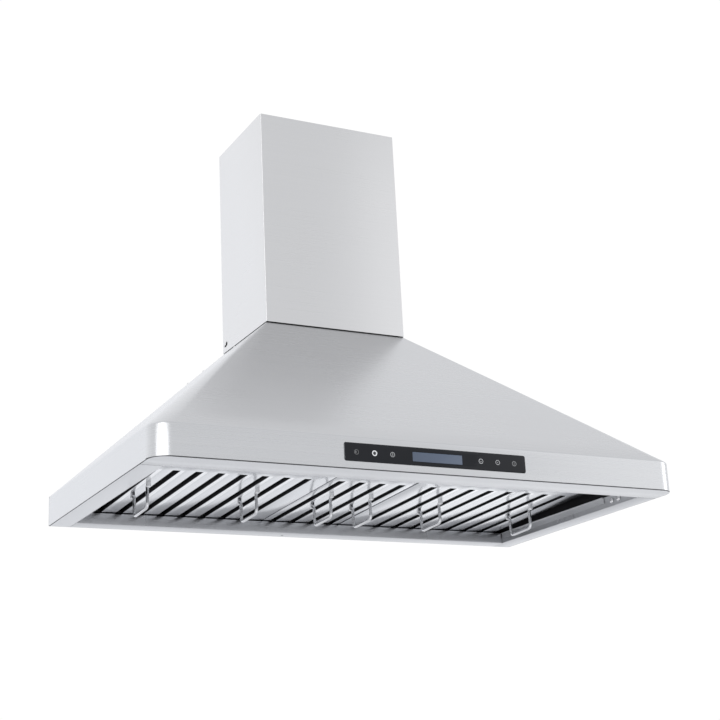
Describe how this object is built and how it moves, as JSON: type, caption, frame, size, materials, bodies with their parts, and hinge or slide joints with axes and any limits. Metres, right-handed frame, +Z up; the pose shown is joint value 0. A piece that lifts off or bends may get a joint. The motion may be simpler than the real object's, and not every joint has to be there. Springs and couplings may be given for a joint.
{
  "type": "wall range hood",
  "caption": "Wall-mounted stainless chimney range hood with a pyramid canopy, baffle filters on wire bails, touch control strip, blower and telescoping duct cover.",
  "frame": {"origin": "on the rear face of the back panel, midway between the two keyholes, 250 mm above the underside", "axes": "+X to the right seen from the cook's side, +Y into the wall, +Z up"},
  "size_m": [0.9, 0.5132, 0.7362],
  "materials": {
    "brushed_steel": "satin, brushed along the sheet",
    "plain_steel": "mill finish, dulled",
    "galvanised_steel": "galvanised, dull",
    "chrome_wire": "polished",
    "black_glass": "glossy black, tempered glass in the real object",
    "display": "smoky display window",
    "lamp_lens": "frosted",
    "black_plastic": "matt moulded",
    "grey_plastic": "matt moulded",
    "motor_paint": "semi-gloss"
  },
  "bodies": {
    "hood": {"back_panel": "plain_steel", "blower_housing": "galvanised_steel", "blower_motor": "motor_paint", "cable_gland": "black_plastic", "canopy_skin": "brushed_steel", "control_box": "black_plastic", "control_glass": "black_glass", "cover_tab_left": "galvanised_steel", "cover_tab_right": "galvanised_steel", "damper_pin": "chrome_wire", "display_window": "display", "duct_collar": "galvanised_steel", "front_channel": "brushed_steel", "guide_screw_left_1": "chrome_wire", "guide_screw_left_2": "chrome_wire", "guide_screw_right_1": "chrome_wire", "guide_screw_right_2": "chrome_wire", "inlet_guard": "black_plastic", "lamp_body_left": "plain_steel", "lamp_body_right": "plain_steel", "lamp_driver": "black_plastic", "lamp_lens_left": "lamp_lens", "lamp_lens_right": "lamp_lens", "liner_left": "plain_steel", "liner_right": "plain_steel", "lower_cover": "brushed_steel", "motor_bracket": "galvanised_steel", "power_box": "grey_plastic", "power_box_cover": "grey_plastic", "rear_channel": "brushed_steel", "run_capacitor": "grey_plastic", "side_flange_left": "brushed_steel", "side_flange_right": "brushed_steel", "side_guide_left": "plain_steel", "side_guide_right": "plain_steel", "top_plate": "galvanised_steel"},
    "filter_left": {"filter_left": "brushed_steel", "filter_left_upper_baffles": "brushed_steel"},
    "filter_middle": {"filter_middle": "brushed_steel", "filter_middle_upper_baffles": "brushed_steel"},
    "filter_right": {"filter_right": "brushed_steel", "filter_right_upper_baffles": "brushed_steel"},
    "bail_1": {"bail_1": "chrome_wire"},
    "bail_2": {"bail_2": "chrome_wire"},
    "bail_3": {"bail_3": "chrome_wire"},
    "bail_4": {"bail_4": "chrome_wire"},
    "bail_5": {"bail_5": "chrome_wire"},
    "bail_6": {"bail_6": "chrome_wire"},
    "blower_rotor": {"blower_wheel": "grey_plastic", "motor_shaft": "chrome_wire"},
    "damper_front": {"damper_flap_front": "galvanised_steel"},
    "damper_rear": {"damper_flap_rear": "galvanised_steel"},
    "duct_cover_upper": {"upper_cover": "brushed_steel", "ceiling_bracket": "galvanised_steel"}
  },
  "joints": [
    {"name": "filter_left_lift", "type": "hinge", "parent": "hood", "child": "filter_left", "pos_m": [0, -0.01, -0.2304], "axis": [-1, 0, 0], "range_deg": [0, 6.5]},
    {"name": "filter_middle_lift", "type": "hinge", "parent": "hood", "child": "filter_middle", "pos_m": [0, -0.01, -0.2304], "axis": [-1, 0, 0], "range_deg": [0, 6.5]},
    {"name": "filter_right_lift", "type": "hinge", "parent": "hood", "child": "filter_right", "pos_m": [0, -0.01, -0.2304], "axis": [-1, 0, 0], "range_deg": [0, 6.5]},
    {"name": "bail_1_swing", "type": "hinge", "parent": "filter_left", "child": "bail_1", "pos_m": [-0.35955, -0.19954, -0.22807], "axis": [0, 0.9994, -0.0358], "range_deg": [-85, 85]},
    {"name": "bail_2_swing", "type": "hinge", "parent": "filter_left", "child": "bail_2", "pos_m": [-0.17605, -0.19954, -0.22807], "axis": [0, 0.9994, -0.0358], "range_deg": [-85, 85]},
    {"name": "bail_3_swing", "type": "hinge", "parent": "filter_middle", "child": "bail_3", "pos_m": [-0.04325, -0.19954, -0.22807], "axis": [0, 0.9994, -0.0358], "range_deg": [-85, 85]},
    {"name": "bail_4_swing", "type": "hinge", "parent": "filter_middle", "child": "bail_4", "pos_m": [0.03015, -0.19954, -0.22807], "axis": [0, 0.9994, -0.0358], "range_deg": [-85, 85]},
    {"name": "bail_5_swing", "type": "hinge", "parent": "filter_right", "child": "bail_5", "pos_m": [0.16315, -0.19954, -0.22807], "axis": [0, 0.9994, -0.0358], "range_deg": [-85, 85]},
    {"name": "bail_6_swing", "type": "hinge", "parent": "filter_right", "child": "bail_6", "pos_m": [0.34665, -0.19954, -0.22807], "axis": [0, 0.9994, -0.0358], "range_deg": [-85, 85]},
    {"name": "blower_spin", "type": "hinge", "parent": "hood", "child": "blower_rotor", "pos_m": [0, -0.09, -0.045], "axis": [1, 0, 0], "continuous": true},
    {"name": "damper_front_swing", "type": "hinge", "parent": "hood", "child": "damper_front", "pos_m": [0, -0.11, 0.1145], "axis": [-1, 0, 0], "range_deg": [0, 75]},
    {"name": "damper_rear_swing", "type": "hinge", "parent": "hood", "child": "damper_rear", "pos_m": [0, -0.11, 0.1145], "axis": [1, 0, 0], "range_deg": [0, 75]},
    {"name": "upper_cover_slide", "type": "slide", "parent": "hood", "child": "duct_cover_upper", "axis": [0, 0, 1], "range_m": [0, 0.3]}
  ]
}
